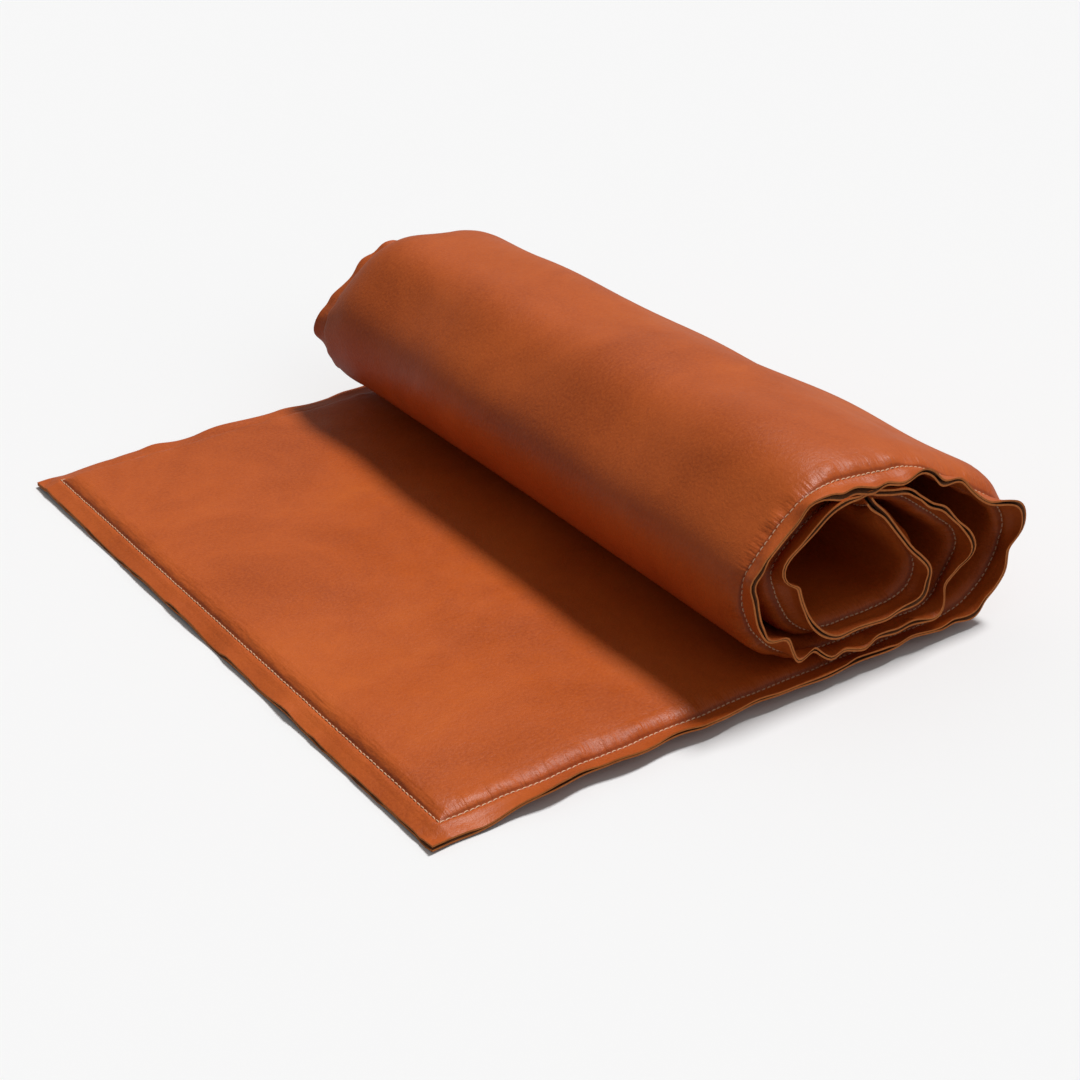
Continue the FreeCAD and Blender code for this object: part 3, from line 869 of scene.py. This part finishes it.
for number, (low, high) in enumerate(zip(cuts, cuts[1:])):
    strip = strips[number]
    first, last = rowOf(low), rowOf(high)
    mine = (stitches[:, 0] >= low) & (stitches[:, 0] < high)
    stitching = stitchPiece(f"stitching_{strip}", stitches[mine], waxedThread)
    carry(stitching, number)
    rows = slice(first, last + 1)
    for face, kind, label in ((1, "top_hide", "topHide"), (-1, "bottom_hide", "bottomHide")):
        outer, inner = ((points[rows], normals[rows]) for points, normals in layers[face])
        flat = flatMat[rows] + (0.0 if face > 0 else flatShift["bottom"])
        hide = closedLayer(f"{label}_{strip}", face, outer, inner, flat, [grain, cutEdge, flesh])
        carry(hide, number)
        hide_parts(*cadNodes(strip, kind))
    core = paddingPiece(f"padding_{strip}", low, high, wadding)
    carry(core, number)
    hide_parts(*cadNodes(strip, "padding"))
print("mat built")


# floor, lamps and camera
studio = {
    "floor": 14.0,  # across
    "sky": 0.215,
    "backdrop": 0.92,
    "window": {"power": 2.78, "from": (0.44, 0.02, 0.94), "softness": 12.0},
    "reflector": {"power": 0.15, "from": (0.2, -0.8, 0.6), "softness": 50.0},
    "camera": (-0.7751, -1.1518, 0.7613),
    "heading": 54.78,
    "pitch": 28.6,
    "lens": 68.0,
    "sensor": 36.0,
}


def makeFloor():
    half = studio["floor"] / 2
    mesh = bpy.data.meshes.new("floor")
    corners = [(-half, -half, 0), (half, -half, 0), (half, half, 0), (-half, half, 0)]
    mesh.from_pydata(corners, [], [(0, 1, 2, 3)])
    floor = bpy.data.objects.new("floor", mesh)
    bpy.context.scene.collection.objects.link(floor)
    material, tree, shader = newMaterial("pale studio floor")
    # the floor looks pale, and throws less light back under the roll
    seen = tree.nodes.new("ShaderNodeLightPath").outputs["Is Camera Ray"]
    tones = [(finish[name],) * 3 for name in ("floorBounce", "floor")]
    tree.links.new(blendColour(tree, seen, *tones), shader.inputs["Base Color"])
    shader.inputs["Roughness"].default_value = 1.0
    shader.inputs["Specular IOR Level"].default_value = 0.0
    mesh.materials.append(material)


def addSun(name):
    # shines from its place towards the middle of the floor
    light = bpy.data.lights.new(name, "SUN")
    light.energy = studio[name]["power"]
    light.angle = math.radians(studio[name]["softness"])
    lamp = bpy.data.objects.new(name, light)
    bpy.context.scene.collection.objects.link(lamp)
    lamp.location = studio[name]["from"]
    lamp.rotation_euler = (-Vector(lamp.location)).to_track_quat("-Z", "Y").to_euler()


makeFloor()
addSun("window")
addSun("reflector")
world = bpy.data.worlds.new("studio")
world.use_nodes = True
background = world.node_tree.nodes["Background"]
background.inputs["Color"].default_value = (1.0, 1.0, 1.0, 1.0)
seen = world.node_tree.nodes.new("ShaderNodeLightPath").outputs["Is Camera Ray"]
strength = spread(world.node_tree, seen, studio["sky"], studio["backdrop"], 0.0, 1.0)
world.node_tree.links.new(strength, background.inputs["Strength"])
bpy.context.scene.world = world
bpy.context.scene.view_settings.view_transform = "Standard"

camera = bpy.data.objects.new("camera", bpy.data.cameras.new("camera"))
bpy.context.scene.collection.objects.link(camera)
camera.data.lens = studio["lens"]
camera.data.sensor_width = studio["sensor"]
camera.location = studio["camera"]
camera.rotation_euler = (
    math.radians(90 - studio["pitch"]),
    0.0,
    math.radians(studio["heading"] - 90),
)
bpy.context.scene.camera = camera
print("studio ready")
